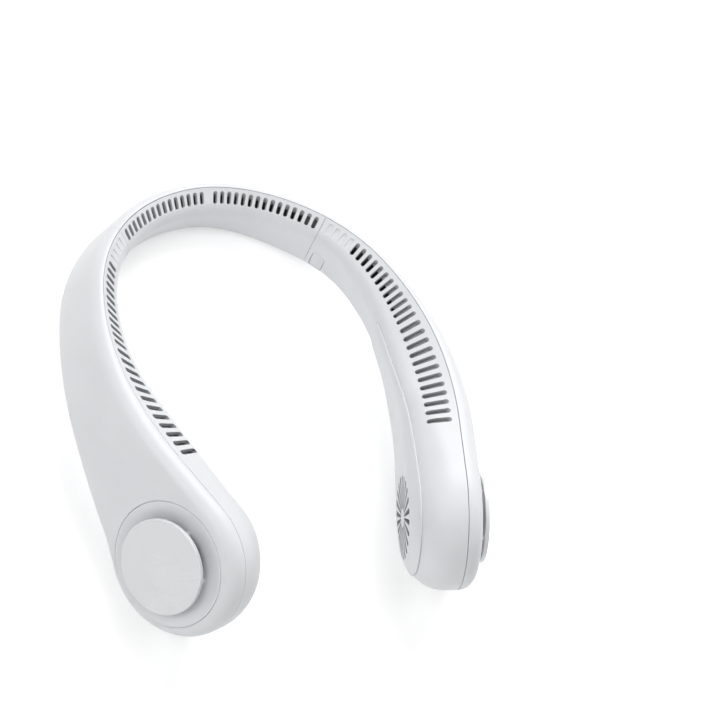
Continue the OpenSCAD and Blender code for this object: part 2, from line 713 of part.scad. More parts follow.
// Battery cells, in the lower half of each arm
cell_s = 103;
cell_rise = 2.5;
cell_v = low_at(cell_s) + wall + cell_rise + cell_h / 2;
cell_out = 2.2;
cell_cap_l = 2;
module battery_cell(left) {
    color("steelblue") mirrored(left) at_seam(cell_s, -cell_out - cell_t, cell_v) {
        translate([-cell_h / 2, -cell_l / 2, 0]) cube([cell_h, cell_l - cell_cap_l, cell_t]);
        translate([(cell_cap_l - cell_h) / 2, cell_l / 2 - cell_cap_l, cell_cap_l / 2])
            cube([cell_h - cell_cap_l, cell_cap_l, cell_t - cell_cap_l]);
    }
}

// Control board with socket, switch and light guide, at the lower edge of the right arm.
// One frame for all: x out, y along the arm, z out of the lower edge.
power_s = 148;
power_u = -8;
power_pitch = 9.5;
power_sunk = 0.1;
board_t = 1.2;
board_l = 33;
board_h = 10.5;
board_low = 4.2;
board_hole_at = 13.6;
board_hole_low = 12.2;
board_post = 10.6;
button_gap = 0.3;
button_proud = 0.9;
button_flange = 0.8;
button_flange_t = 1;
button_end = -3.2;
switch_l = 6;
switch_h = 3.6;
switch_gap = 0.3;
switch_nub_h = 0.8;
light_r = 0.9;
light_l = 6;
shell_t = 0.3;
tongue_w = 6.7;
tongue_t = 0.7;
tongue_sunk = 1;
module at_power(y) {
    at_low(power_s, power_u) translate([0, y * power_pitch, 0]) children();
}
// Screw places on the board, local z out of its back
module at_board_screws() {
    for (y = [-1, 1])
        at_power(0) translate([usb_h / 2 + board_t, y * board_hole_at, -board_hole_low])
            rotate([0, 90, 0]) children();
}
module rounded_bar(l, w, h) {
    translate([0, 0, -h]) linear_extrude(h) {
        square([w, l - w], center = true);
        for (y = [-1, 1])
            translate([0, y * (l - w) / 2]) circle(d = w);
    }
}
module power_cuts() {
    cut = wall + 3 * over;
    slack = 2 * button_gap;
    at_power(-1) translate([0, 0, 2 * over]) rounded_bar(usb_w + 2 * fit, usb_h + 2 * fit, cut);
    at_power(1) translate([0, 0, 2 * over]) rounded_bar(button_l + slack, button_w + slack, cut);
    at_power(0) translate([0, 0, -cut]) cylinder(h = 2 * cut, r = light_r + fit);
}
module control_board() {
    color("seagreen") difference() {
        at_power(0) translate([usb_h / 2, -board_l / 2, -board_low - board_h])
            cube([board_t, board_l, board_h]);
        at_board_screws() translate([0, 0, -board_t - over])
            cylinder(h = board_t + 2 * over, r = screw_r + fit);
    }
}
module board_screws() {
    color("silver") at_board_screws() {
        translate([0, 0, -board_t - screw_head_h]) cylinder(h = screw_head_h, r = screw_head_r);
        translate([0, 0, -board_t - rest]) cylinder(h = board_post / 2, r = screw_r - rest);
    }
}
module charging_socket() {
    color("silver") at_power(-1) translate([0, 0, -power_sunk]) {
        difference() {
            rounded_bar(usb_w, usb_h, usb_d);
            translate([0, 0, over])
                rounded_bar(usb_w - 2 * shell_t, usb_h - 2 * shell_t, usb_d + over - shell_t);
        }
        translate([-tongue_t / 2, -tongue_w / 2, shell_t / 2 - usb_d])
            cube([tongue_t, tongue_w, usb_d - tongue_sunk]);
    }
}
module power_button() {
    flange = 2 * button_flange;
    stem = button_proud - button_end - button_flange_t / 2;
    color("silver") at_power(1) {
        translate([0, 0, button_proud]) rounded_bar(button_l, button_w, stem);
        translate([0, 0, button_end + button_flange_t])
            rounded_bar(button_l + flange, button_w + flange, button_flange_t);
    }
}
module button_switch() {
    top = button_end - button_travel - switch_gap - switch_nub_h;
    color("dimgray") at_power(1) {
        translate([rest - usb_h / 2, -switch_l / 2, top - switch_h])
            cube([usb_h - 2 * rest, switch_l, switch_h]);
        translate([0, 0, top - rest]) cylinder(h = switch_nub_h + rest, r = light_r);
    }
}
module light_guide() {
    color("white") at_power(0) {
        translate([0, 0, -light_l]) cylinder(h = light_l, r = light_r);
        translate([0, -light_r, -light_l]) cube([usb_h / 2 - rest, 2 * light_r, 2 * light_r]);
    }
}

// Wires through the band, from cell to cell
wire_r = 1.4;
wire_u = -3;
wire_v = 4.7;
wire_gap = 1;
wire_end = cell_s - cell_l / 2 - wire_gap;
wire_steps = 32;
wire_side_count = 8;
module wiring_harness() {
    color("dimgray") solid([for (i = [0:wire_steps])
        let(s = mix(-wire_end, wire_end, i / wire_steps), v = low_at(abs(s)) + wire_v)
        [for (k = [0:wire_side_count - 1]) let(a = 360 * (k + 0.5) / wire_side_count)
            raw_place(s, wire_u + wire_r * cos(a), v + wire_r * sin(a))]], false, false);
}

neck_band_outer();
neck_band_inner();
wiring_harness();
arm_outer(false);  // right_arm_outer
arm_inner(false);  // right_arm_inner
inner_panel(false);  // right_inner_panel
intake_ring(false);  // right_intake_ring
intake_cap(false);  // right_intake_cap
fan_wheel(false);  // right_fan_wheel
motor_can(false);  // right_motor_can
motor_magnet(false);  // right_motor_magnet
motor_shaft(false);  // right_motor_shaft
motor_stator(false);  // right_motor_stator
motor_bush(false);  // right_motor_bush
scroll_housing(false);  // right_scroll_housing
battery_cell(false);  // right_battery_cell
shell_screws(false);  // right_shell_screws
joint_sleeve(false);  // right_joint_sleeve
joint_screw(false);  // right_joint_screw
joint_plug(false);  // right_joint_plug
arm_outer(true);  // left_arm_outer
arm_inner(true);  // left_arm_inner
inner_panel(true);  // left_inner_panel
intake_ring(true);  // left_intake_ring
intake_cap(true);  // left_intake_cap
fan_wheel(true);  // left_fan_wheel
motor_can(true);  // left_motor_can
motor_magnet(true);  // left_motor_magnet
motor_shaft(true);  // left_motor_shaft
motor_stator(true);  // left_motor_stator
motor_bush(true);  // left_motor_bush
scroll_housing(true);  // left_scroll_housing
battery_cell(true);  // left_battery_cell
shell_screws(true);  // left_shell_screws
joint_sleeve(true);  // left_joint_sleeve
joint_screw(true);  // left_joint_screw
joint_plug(true);  // left_joint_plug
control_board();
board_screws();
charging_socket();
power_button();
button_switch();
light_guide();
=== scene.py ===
import json
import math
import bpy
import bmesh
import numpy as np
from mathutils import Matrix, Vector


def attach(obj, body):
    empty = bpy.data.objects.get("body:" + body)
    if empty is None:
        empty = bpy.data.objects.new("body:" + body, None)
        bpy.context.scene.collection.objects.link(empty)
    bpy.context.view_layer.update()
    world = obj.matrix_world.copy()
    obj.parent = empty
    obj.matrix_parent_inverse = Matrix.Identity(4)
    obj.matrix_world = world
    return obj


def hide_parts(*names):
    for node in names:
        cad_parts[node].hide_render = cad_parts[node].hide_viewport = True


# Neck fan. The pieces' lengths are given in millimetres, and meshes are made in metres.
# Right (+X) and left (-X) are as seen from the front. The band is at +Y, the paddles at -Y.
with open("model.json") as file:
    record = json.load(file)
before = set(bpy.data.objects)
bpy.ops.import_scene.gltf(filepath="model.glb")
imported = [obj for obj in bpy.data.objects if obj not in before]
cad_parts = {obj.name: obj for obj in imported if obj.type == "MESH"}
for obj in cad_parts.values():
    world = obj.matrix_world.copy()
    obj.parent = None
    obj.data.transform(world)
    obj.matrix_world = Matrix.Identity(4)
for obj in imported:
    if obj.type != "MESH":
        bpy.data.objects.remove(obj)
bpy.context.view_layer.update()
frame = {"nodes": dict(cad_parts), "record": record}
milli = 0.001


def feed(tree, socket, item):
    # a value is linked, and a number or colour is set on the socket itself
    if isinstance(item, Value):
        tree.links.new(item.socket, socket)
    else:
        socket.default_value = item


# one value in a shader tree, so that materials can be written as sums
class Value:
    def __init__(self, tree, socket):
        self.tree, self.socket = tree, socket

    def math(self, operation, first, second):
        node = self.tree.nodes.new("ShaderNodeMath")
        node.operation = operation
        feed(self.tree, node.inputs[0], first)
        feed(self.tree, node.inputs[1], second)
        return Value(self.tree, node.outputs[0])

    def __add__(self, other):
        return self.math("ADD", self, other)

    def __radd__(self, other):
        return self.math("ADD", other, self)

    def __sub__(self, other):
        return self.math("SUBTRACT", self, other)

    def __rsub__(self, other):
        return self.math("SUBTRACT", other, self)

    def __mul__(self, other):
        return self.math("MULTIPLY", self, other)

    def __rmul__(self, other):
        return self.math("MULTIPLY", other, self)


# the nodes of one material, or of the world
class Look:
    def __init__(self, owner, shader="Principled BSDF"):
        owner.use_nodes = True
        self.owner, self.tree = owner, owner.node_tree
        self.surface = self.tree.nodes[shader]

    def node(self, kind, settings=None, sockets=None, out=0):
        made = self.tree.nodes.new("ShaderNode" + kind)
        for key, item in (settings or {}).items():
            setattr(made, key, item)
        for key, item in (sockets or {}).items():
            feed(self.tree, made.inputs[key], item)
        return Value(self.tree, made.outputs[out])

    def set(self, **sockets):
        for key, item in sockets.items():
            feed(self.tree, self.surface.inputs[key.replace("_", " ")], item)

    def where(self, scale=None):
        at = self.node("TexCoord", out="Object")
        return self.node("Mapping", None, {"Vector": at, "Scale": scale}) if scale else at

    def noise(self, size, detail=2.0, rough=0.5, at=None):
        # size is the width of its bumps in millimetres
        return self.node("TexNoise", None, {"Vector": at or self.where(), "Scale": 1 / milli / size,
                                            "Detail": detail, "Roughness": rough})

    def between(self, share, first, second):
        # a mix of two colours, whose sockets are the ones numbered 6 and 7
        return self.node("Mix", {"data_type": "RGBA"}, {0: share, 6: first, 7: second}, 2)

    def spread(self, value, low, high, toLow=0.0, toHigh=1.0):
        return self.node("MapRange", None, {"Value": value, "From Min": low, "From Max": high,
                                            "To Min": toLow, "To Max": toHigh})

    def bump(self, height, deep, normal):
        # deep is the height of the bumps in millimetres
        return self.node("Bump", None, {"Height": height, "Strength": 1.0,
                                        "Distance": deep * milli, "Normal": normal})

    def softEdges(self, radius):
        return self.node("Bevel", {"samples": 6}, {"Radius": radius * milli})

    def seenShare(self):
        # 1 on the rays that show the background: straight, mirrored, or through something clear
        straight, mirrored, clear = (self.node("LightPath", out="Is %s Ray" % kind)
                                     for kind in ("Camera", "Glossy", "Transmission"))
        return straight + mirrored + clear


def shade(colour, share):
    return tuple(c * share for c in colour[:3]) + (1,)


# what the moulded plastics share: widths of clouds, specks and waves, and how much they show
mould = {"clouds": 24, "specks": 0.55, "speckShare": 0.2, "toneRange": (0.35, 0.65),
         "cloudTone": 0.965, "cloudRough": 0.1, "speckRough": 0.05, "coatRough": 0.18,
         "waves": 11, "waveHeight": 0.018}
# what the metals share
polish = {"stains": 5, "stainShare": 0.4, "toneRange": (0.3, 0.7), "worn": 0.75, "rough": 0.25,
          "edge": 0.08}


def plastic(name, colour, rough=0.42, grain=0.006, grainSize=0.32, edge=0.2, coat=0.0):
    # faint flow clouds in the colour, a fine spark-eroded grain and slow waves in the face
    look = Look(bpy.data.materials.new(name))
    clouds, specks = look.noise(mould["clouds"], 3), look.noise(mould["specks"])
    share = mould["speckShare"]
    tone = look.spread(clouds * (1 - share) + specks * share, *mould["toneRange"])
    look.set(Base_Color=look.between(tone, shade(colour, mould["cloudTone"]), colour))
    unevenness = (clouds - 0.5) * mould["cloudRough"] + (specks - 0.5) * mould["speckRough"]
    look.set(Roughness=rough + unevenness, Coat_Weight=coat, Coat_Roughness=mould["coatRough"])
    if grain:
        waves = look.bump(look.noise(mould["waves"], 1), mould["waveHeight"], look.softEdges(edge))
        look.set(Normal=look.bump(look.noise(grainSize, 2, 0.6), grain, waves))
    return look


def metal(name, colour, rough, stretch, marked=0.4, relief=0.008):
    # fine turning or rolling marks, and stains where it is worn
    look = Look(bpy.data.materials.new(name))
    marks, stains = look.noise(marked, 3, 0.6, look.where(stretch)), look.noise(polish["stains"])
    share = polish["stainShare"]
    tone = look.spread(marks * (1 - share) + stains * share, *polish["toneRange"])
    look.set(Base_Color=look.between(tone, shade(colour, polish["worn"]), colour), Metallic=1.0)
    look.set(Roughness=rough + (marks - 0.5) * polish["rough"])
    if relief:
        look.set(Normal=look.bump(marks, relief, look.softEdges(polish["edge"])))
    return look


# enamelled wire: rows of fine turns round the teeth
copper = {"colour": (0.72, 0.30, 0.13, 1), "rough": 0.28, "stretch": (1, 1, 7), "turns": 900,
          "wander": 0.4, "relief": 0.05, "edge": 0.1}
# shrink film with soft creases over a cell
film = {"colour": (0.035, 0.045, 0.06, 1), "rough": 0.3, "coat": 0.3, "creases": 7,
        "stretch": (1, 3, 1), "relief": 0.14, "edge": 0.35}
# a green board with copper runs under the lacquer
lacquer = {"green": (0.012, 0.12, 0.045, 1), "runs": (0.03, 0.22, 0.08, 1), "rough": 0.3,
           "coat": 0.5, "runScale": 260, "runWidth": 0.012, "shift": 0.3, "relief": 0.03,
           "edge": 0.1}


def copperTurns():
    look = metal("winding", copper["colour"], copper["rough"], copper["stretch"], relief=0)
    turns = look.node("TexWave", {"bands_direction": "Z"},
                      {"Vector": look.where(), "Scale": copper["turns"],
                       "Distortion": copper["wander"]}, 1)
    look.set(Normal=look.bump(turns, copper["relief"], look.softEdges(copper["edge"])))
    return look


def filmWrap():
    look = plastic("cell", film["colour"], rough=film["rough"], grain=0, coat=film["coat"])
    creases = look.noise(film["creases"], 2, 0.45, look.where(film["stretch"]))
    look.set(Normal=look.bump(creases, film["relief"], look.softEdges(film["edge"])))
    return look


def lacquered():
    green = lacquer["green"]
    look = plastic("board", green, rough=lacquer["rough"], grain=0, coat=lacquer["coat"])
    runs = look.node("TexBrick", {"offset": lacquer["shift"]},
                     {"Vector": look.where(), "Scale": lacquer["runScale"],
                      "Mortar Size": lacquer["runWidth"]}, 1)
    look.set(Base_Color=look.between(runs, green, lacquer["runs"]))
    look.set(Normal=look.bump(runs, lacquer["relief"], look.softEdges(lacquer["edge"])))
    return look


def frosted():
    # the light guide, a milky clear moulding
    look = plastic("clear", (0.86, 0.89, 0.92, 1), rough=0.28, grain=0.004, grainSize=0.4)
    look.set(Transmission_Weight=0.5)
    return look


looks = {
    "shell": plastic("shell", (0.815, 0.825, 0.845, 1)),
    # inside: a mid grey on the shells' inner skins, the walls of the open slots and grille, and the
    # air guides. The plastic there is as white as the shell, so this grey is painted shade that
    # makes the slots look dark
    "inside": plastic("inside", (0.46, 0.465, 0.475, 1), rough=0.6, grain=0.02, grainSize=0.6),
    "cap": plastic("cap", (0.825, 0.832, 0.848, 1), rough=0.26, grain=0.001, grainSize=0.28,
                   coat=0.4),
    # housing and fan are darkened so that what shows through the slots and grille looks dark:
    # painted shade
    "housing": plastic("housing", (0.12, 0.122, 0.128, 1), rough=0.55, grain=0.02, grainSize=0.5),
    "sleeve": plastic("sleeve", (0.03, 0.03, 0.032, 1), rough=0.55, grain=0.02, grainSize=0.4),
    "fan": plastic("fan", (0.10, 0.102, 0.108, 1), rough=0.45, grain=0.012, grainSize=0.4),
    "button": plastic("button", (0.74, 0.75, 0.77, 1), rough=0.3, grain=0.004, grainSize=0.3,
                      edge=0.15, coat=0.2),
    "dark": plastic("dark", (0.028, 0.028, 0.03, 1), rough=0.5, grain=0.02, grainSize=0.4),
    "wire": plastic("wire", (0.022, 0.022, 0.025, 1), rough=0.62, grain=0.03, grainSize=0.5),
    "cell": filmWrap(),
    "board": lacquered(),
    "clear": frosted(),
    "steel": metal("steel", (0.60, 0.60, 0.62, 1), 0.26, (1, 1, 6)),
    "brass": metal("brass", (0.62, 0.43, 0.17, 1), 0.42, (1, 1, 1), 0.25),  # sintered, open pores
    "winding": copperTurns(),
    "magnet": metal("magnet", (0.10, 0.10, 0.11, 1), 0.5, (2, 2, 2)),
}
slotOf = {part["node"]: part["material_slot"] for part in frame["record"]["subparts"]}
for name, node in frame["nodes"].items():
    key = "sleeve" if name.endswith("joint_sleeve") else slotOf[name]
    node.data.materials.clear()
    node.data.materials.append(looks[key].owner)
print("materials ready:", len(looks))

# the seam line that all the shells follow, the same sizes as the solids have
seam = {
    "neckRadius": 75.6, "neckTurn": 68.5, "sideRadius": 107.2, "sideTurn": 28.9,
    "frontRadius": 152, "frontTurn": 12.6, "climb": 0.2, "climbRun": 61,
    "backLean": 4.7, "paddleLean": 20.9, "jointAt": 57.5, "flatLength": 27.4,
    "stand": (0, 97.4748, 27.1778),
}
neckTurn, sideTurn, frontTurn = (math.radians(seam[key])
                                 for key in ("neckTurn", "sideTurn", "frontTurn"))
sideHead, frontHead = neckTurn + sideTurn, neckTurn + sideTurn + frontTurn
neckLength = seam["neckRadius"] * neckTurn
sideEndAt = neckLength + seam["sideRadius"] * sideTurn
flatAt = sideEndAt + seam["frontRadius"] * frontTurn
paddleAt = flatAt + seam["flatLength"]


def ease(t):
    c = np.clip(t, 0, 1)
    return c * c * (3 - 2 * c)


def mix(a, b, t):
    return a + (b - a) * t


def heading(s):
    late = sideHead + np.clip((s - sideEndAt) / seam["frontRadius"], 0, frontTurn)
    onSide = neckTurn + (s - neckLength) / seam["sideRadius"]
    return np.where(s < neckLength, s / seam["neckRadius"], np.where(s < sideEndAt, onSide, late))


def compass(angle):
    return np.array([math.sin(angle), math.cos(angle)])


def plan(s):
    # where the seam line is, seen from above
    h = heading(s)
    turn = np.stack([np.sin(h), np.cos(h)], -1)
    neckEnd = seam["neckRadius"] * (compass(neckTurn) - compass(0))
    sideEnd = neckEnd + seam["sideRadius"] * (compass(sideHead) - compass(neckTurn))
    frontEnd = sideEnd + seam["frontRadius"] * (compass(frontHead) - compass(sideHead))
    w = s[..., None]
    onNeck = seam["neckRadius"] * (turn - compass(0))
    onSide = neckEnd + seam["sideRadius"] * (turn - compass(neckTurn))
    onFront = sideEnd + seam["frontRadius"] * (turn - compass(sideHead))
    onFlat = frontEnd + (w - flatAt) * np.array([math.cos(frontHead), -math.sin(frontHead)])
    late = np.where(w < flatAt, onFront, onFlat)
    return np.where(w < neckLength, onNeck, np.where(w < sideEndAt, onSide, late))


def climbed(s):
    t, run = s / seam["climbRun"], seam["climbRun"]
    return seam["climb"] * np.where(t < 1, run * (t ** 3 - t ** 4 / 2), s - run / 2)


def axesAt(s):
    # along, out of and up from the seam line
    h = heading(s)
    climb = seam["climb"] * ease(s / seam["climbRun"])
    along = np.stack([np.cos(h), -np.sin(h), climb], -1)
    along /= np.linalg.norm(along, axis=-1, keepdims=True)
    levelOut = np.stack([np.sin(h), np.cos(h), 0 * h], -1)
    levelUp = np.cross(along, levelOut)
    start = seam["jointAt"] / 2
    leaning = ease((s - start) / (sideEndAt - start))
    lean = np.radians(mix(seam["backLean"], seam["paddleLean"], leaning))[..., None]
    out = np.cos(lean) * levelOut + np.sin(lean) * levelUp
    return along, out, np.cos(lean) * levelUp - np.sin(lean) * levelOut


def place(s, u, v):
    # a point at s along, u out of and v up from the seam line, in the object's frame
    s, u, v = np.broadcast_arrays(*(np.asarray(x, float) for x in (s, u, v)))
    side, a = np.where(s < 0, -1.0, 1.0), np.abs(s)
    along, out, up = axesAt(a)
    p = np.concatenate([plan(a), climbed(a)[..., None]], -1)
    p = p + u[..., None] * out + v[..., None] * up
    p[..., 0] *= side
    return p + np.array(seam["stand"])


# the section of the shells and how it grows towards the paddle
shell = {
    "backHeight": 25, "jointHeight": 29.4, "paddleRadius": 31.9, "paddleFall": 34, "growAfter": 7.2,
    "bandOut": 3.7, "paddleOut": 7.1, "bandIn": 10.3, "paddleIn": 22.4,
    "outerRound": 6.5, "paddleCorner": 17, "armCorner": 6.4, "bandCorner": 4.4,
    "topSlope": 26, "slopeBefore": 14.4, "slopePast": 4.87,
    "wall": 1.8, "faceWall": 3.0, "seamGap": 0.24, "seamSoft": 0.16, "seamBend": 0.4,
    "jointGap": 0.14, "fanLow": 1.6,
}
# how finely things are cut up: steps along, rows over corners and across faces, points of rounds,
# and how near to each other points are welded into one
fine = {
    "arm": 110, "end": 46, "band": 120, "outerCorner": 13, "innerCorner": 15, "side": 7,
    "outerFace": 14, "innerFace": 22, "bandOuterFace": 10, "bandInnerFace": 12,
    "panelArm": 60, "panelEnd": 34, "panelFace": 10, "panelCorner": 9, "arch": 64,
    "lathe": 160, "circle": 96, "smallCircle": 32, "hole": 24, "fillet": 5,
    "slotEnd": 8, "socketEnd": 12, "buttonEnd": 16, "weld": 0.02,
}
growAt = neckLength + shell["growAfter"]
fall = math.radians(shell["paddleFall"])
lowEndAt = paddleAt - shell["paddleRadius"] * math.sin(fall)
lowGain = shell["paddleRadius"] * (1 + math.cos(fall)) - shell["jointHeight"]
lowPower = math.tan(fall) * (lowEndAt - growAt) / lowGain


def deepShare(s):
    return ease((s - seam["jointAt"]) / (sideEndAt - seam["jointAt"]))


def outAt(s):
    return mix(shell["bandOut"], shell["paddleOut"], ease((s - neckLength) / (flatAt - neckLength)))


def inAt(s):
    return mix(shell["bandIn"], shell["paddleIn"], deepShare(s))


def slopeAt(s):
    start, end = neckLength - shell["slopeBefore"], paddleAt + shell["slopePast"]
    return np.radians(shell["topSlope"] * (1 - ease((s - start) / (end - start))))


def grownAt(s):
    return np.maximum(s - growAt, 0) / (lowEndAt - growAt)


def lowAt(s):
    height = mix(shell["backHeight"], shell["jointHeight"], ease(s / seam["jointAt"]))
    return -height - lowGain * grownAt(s) ** lowPower


def fallAt(s):
    return np.arctan(lowPower * lowGain / (lowEndAt - growAt) * grownAt(s) ** (lowPower - 1))


def cornerAt(s):
    early = mix(shell["bandCorner"], shell["armCorner"], deepShare(s))
    grown = ease((s - sideEndAt) / (paddleAt - sideEndAt))
    return np.where(s < sideEndAt, early, mix(shell["armCorner"], shell["paddleCorner"], grown))


def quarter(count):
    return np.radians(np.linspace(0, 90, count))


def seamEdge(side):
    # the softened edge along the parting line, which the inside of the wall hasn't got
    soft, gap = shell["seamSoft"] * (side == 0), shell["seamGap"] / 2
    return soft, gap, [side + soft, side + soft * shell["seamBend"]]


def outLevels(s, side=0.0, face=0.0):
    # from the seam line to the outer face: how far out, and how far drawn in from the outline
    (soft, gap, edge), t = seamEdge(side), quarter(fine["outerCorner"])
    u = mix(gap + soft, outAt(s) - face, np.sin(t))
    d = mix(side, shell["outerRound"], 1 - np.cos(t))
    return np.concatenate([[gap, gap + soft * shell["seamBend"]], u]), np.concatenate([edge, d])


def inLevels(s, side=0.0, face=0.0):
    (soft, gap, edge), t = seamEdge(side), quarter(fine["innerCorner"])
    depth, corner = float(inAt(s)), float(cornerAt(s))
    flat = np.linspace(-gap - soft, corner - depth, fine["side"])[:-1]
    turned = mix(corner - depth, face - depth, np.sin(t))
    u = np.concatenate([[-gap, -gap - soft * shell["seamBend"]], flat, turned])
    return u, np.concatenate([edge, side + 0 * flat, mix(side, corner, 1 - np.cos(t))])


def outWall(s):
    return outLevels(s, shell["wall"], shell["wall"])


def inWall(s):
    # the wall behind the inner panel is thicker, because the panel is let into it
    grown = float(ease((s - panel["start"] + panel["arch"]) / panel["arch"]))
    return inLevels(s, shell["wall"], mix(shell["wall"], shell["faceWall"], grown))


def topDrop(s, u):
    # the slotted face falls inwards from the seam line
    return np.where(u < 0, u * np.tan(slopeAt(np.abs(s))), 0)


def skinRow(top, low, levels, faceRows):
    # top(d) and low(d) give (s, v) of the outline drawn in by d; the wide face has its own rows
    rows = []
    for edge, isTop in ((top, True), (low, False)):
        u, d = levels(abs(float(edge(0.0)[0])))
        s, v = edge(d)
        s = s + 0 * d
        rows.append(place(s, u, v + (topDrop(s, u) if isTop else 0)))
    face = [mix(rows[0][-1], rows[1][-1], k / (faceRows + 1)) for k in range(1, faceRows + 1)]
    return np.concatenate([rows[0], np.array(face), rows[1][::-1]])


def lowEdge(s, d):
    f = fallAt(np.asarray(s, float))
    return s + d * np.sin(f), lowAt(np.asarray(s, float)) + d * np.cos(f)


def rimEdge(t):
    # the outline at the angle t round the end of the paddle
    r = shell["paddleRadius"]
    return lambda d: (paddleAt + (r - d) * math.cos(t), (r - d) * math.sin(t) - r)


def armRows(levels, start, faceRows, stations=fine["arm"], rounds=fine["end"]):
    # stations along the arm, then round the end of the paddle
    rows = []
    for k in range(stations + 1):
        top, low = mix(start, paddleAt, k / stations), mix(start, lowEndAt, k / stations)
        rows.append(skinRow(lambda d: (top, -d), lambda d: lowEdge(low, d), levels, faceRows))
    for k in range(1, rounds + 1):
        above = math.radians(mix(90, 0, k / rounds))
        below = math.radians(mix(90 + shell["paddleFall"], 0, k / rounds))
        rows.append(skinRow(rimEdge(above), rimEdge(-below), levels, faceRows))
    return np.array(rows)


def bandRows(levels, faceRows):
    end = seam["jointAt"] - shell["jointGap"]
    return np.array([skinRow(lambda d: (s, -d), lambda d: (s, lowAt(abs(s)) + d), levels, faceRows)
                     for s in np.linspace(-end, end, fine["band"] + 1)])


def solidFrom(name, points, faces, merge=0.0, kinds=None, skins=("shell",)):
    # a closed mesh with its normals outwards; kinds says which skin each face takes
    mesh = bpy.data.meshes.new(name)
    mesh.from_pydata([tuple(p) for p in np.asarray(points) * milli], [], faces)
    for skin in skins:
        mesh.materials.append(looks[skin].owner)
    if kinds:
        mesh.polygons.foreach_set("material_index", kinds)
    work = bmesh.new()
    work.from_mesh(mesh)
    if merge:
        bmesh.ops.remove_doubles(work, verts=work.verts, dist=merge * milli)
        bmesh.ops.dissolve_degenerate(work, edges=work.edges, dist=merge * milli * 0.5)
        bmesh.ops.holes_fill(work, edges=[e for e in work.edges if e.is_boundary], sides=0)
    bmesh.ops.recalc_face_normals(work, faces=work.faces)
    work.to_mesh(mesh)
    work.free()
    piece = bpy.data.objects.new(name, mesh)
    bpy.context.scene.collection.objects.link(piece)
    return piece


def slab(name, outerRows, innerRows, left=False, bothEnds=False, skins=("shell", "inside")):
    # the wall between two skins, given as grids of points; an arm's paddle end closes by itself
    n, m = outerRows.shape[:2]
    flip = [-1, 1, 1] if left else [1, 1, 1]
    points = np.concatenate([rows.reshape(-1, 3) * flip for rows in (outerRows, innerRows)])
    faces, kinds, half = [], [], n * m
    for i in range(n - 1):
        for j in range(m - 1):
            a = (i * m + j, i * m + j + 1, (i + 1) * m + j + 1, (i + 1) * m + j)
            faces += [a, tuple(half + k for k in a[::-1])]
            # the inner skin takes the last look, by default the mid grey inside: painted shade on
            # the inner faces
            kinds += [0, len(skins) - 1]
        for j in (0, m - 1):
            faces.append((i * m + j, (i + 1) * m + j, half + (i + 1) * m + j, half + i * m + j))
            kinds.append(0)
    for i in (0, n - 1) if bothEnds else (0,):
        for j in range(m - 1):
            faces.append((i * m + j, i * m + j + 1, half + i * m + j + 1, half + i * m + j))
            kinds.append(0)
    return solidFrom(name, points, faces, fine["weld"], kinds, skins)


def combine(piece, others, operation="DIFFERENCE", folded=False):
    for other in others:
        m = piece.modifiers.new("cut", "BOOLEAN")
        m.operation, m.object, m.solver, m.use_self = operation, other, "EXACT", folded
    graph = bpy.context.evaluated_depsgraph_get()
    mesh, old = bpy.data.meshes.new_from_object(piece.evaluated_get(graph)), piece.data
    piece.modifiers.clear()
    piece.data = mesh
    bpy.data.meshes.remove(old)
    mesh.name = piece.name
    for other in others:
        bpy.data.objects.remove(other)
    return piece


def frameMatrix(s, u, v, left=False):
    # local x along the arm, y up, z out
    along, out, up = (a[0] for a in axesAt(np.array([float(abs(s))])))
    m = np.eye(4)
    m[:3, 0], m[:3, 1], m[:3, 2], m[:3, 3] = along, up, out, place(np.array([float(s)]), u, v)[0]
    if s < 0:
        m[0, :3] *= -1
    return np.diag([-1, 1, 1, 1]) @ m if left else m


def fanMatrix(left):
    # on the fan's axis, which sits a little below the middle of the paddle
    return frameMatrix(paddleAt, 0, -shell["paddleRadius"] - shell["fanLow"], left)


def moved(m, points):
    return np.hstack([points, np.ones((len(points), 1))]) @ m[:3].T


def shifted(m, x, y=0):
    return m @ np.array(Matrix.Translation((x, y, 0)))


def circle(r, count=fine["circle"]):
    return [(r * math.cos(t), r * math.sin(t))
            for t in np.linspace(0, 2 * math.pi, count, endpoint=False)]


def bar(length, width, arc=fine["slotEnd"]):
    # a bar with round ends along y
    r, reach, points = width / 2, (length - width) / 2, []
    for centre, turn in ((reach, 0), (-reach, 180)):
        turns = np.radians(np.linspace(turn, turn + 180, arc + 1))
        points += [(r * math.cos(t), centre + r * math.sin(t)) for t in turns]
    return points


def stack(rings):
    # points and faces of a closed solid through rings of equally many points
    n, points = len(rings[0]), [p for ring in rings for p in ring]
    faces = [tuple(range(n - 1, -1, -1)), tuple(range(len(points) - n, len(points)))]
    for level in range(len(rings) - 1):
        a = level * n
        faces += [(a + k, a + (k + 1) % n, a + n + (k + 1) % n, a + n + k) for k in range(n)]
    return points, faces


def prism(name, outline, low, high, m):
    points, faces = stack([[(x, y, z) for x, y in outline] for z in (low, high)])
    return solidFrom(name, moved(m, np.array(points)), faces)


lipRound = ((0, 1), (0.12, 0.5), (0.45, 0.12), (1, 0))  # shares of a lip's depth and width
sharpFrom = 32  # degrees between two faces


def lipped(outlineAt, above, below, lip, down=-1):
    # rings of a cutter that leaves a soft lip round its hole; down is the way into the wall
    levels = [(-above, lip)] + [(lip * deep, lip * wide) for deep, wide in lipRound] + [(below, 0)]
    return [[(x, y, z * down) for x, y in outlineAt(grow)] for z, grow in levels]


def smooth(piece, angle=sharpFrom):
    mesh = piece.data
    mesh.polygons.foreach_set("use_smooth", [True] * len(mesh.polygons))
    mesh.set_sharp_from_angle(angle=math.radians(angle))


def finishPiece(piece, node, body, angle=sharpFrom):
    smooth(piece, angle)
    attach(piece, body)
    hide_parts(node)


print("seam line ready: paddle at", round(paddleAt, 2), "mm")

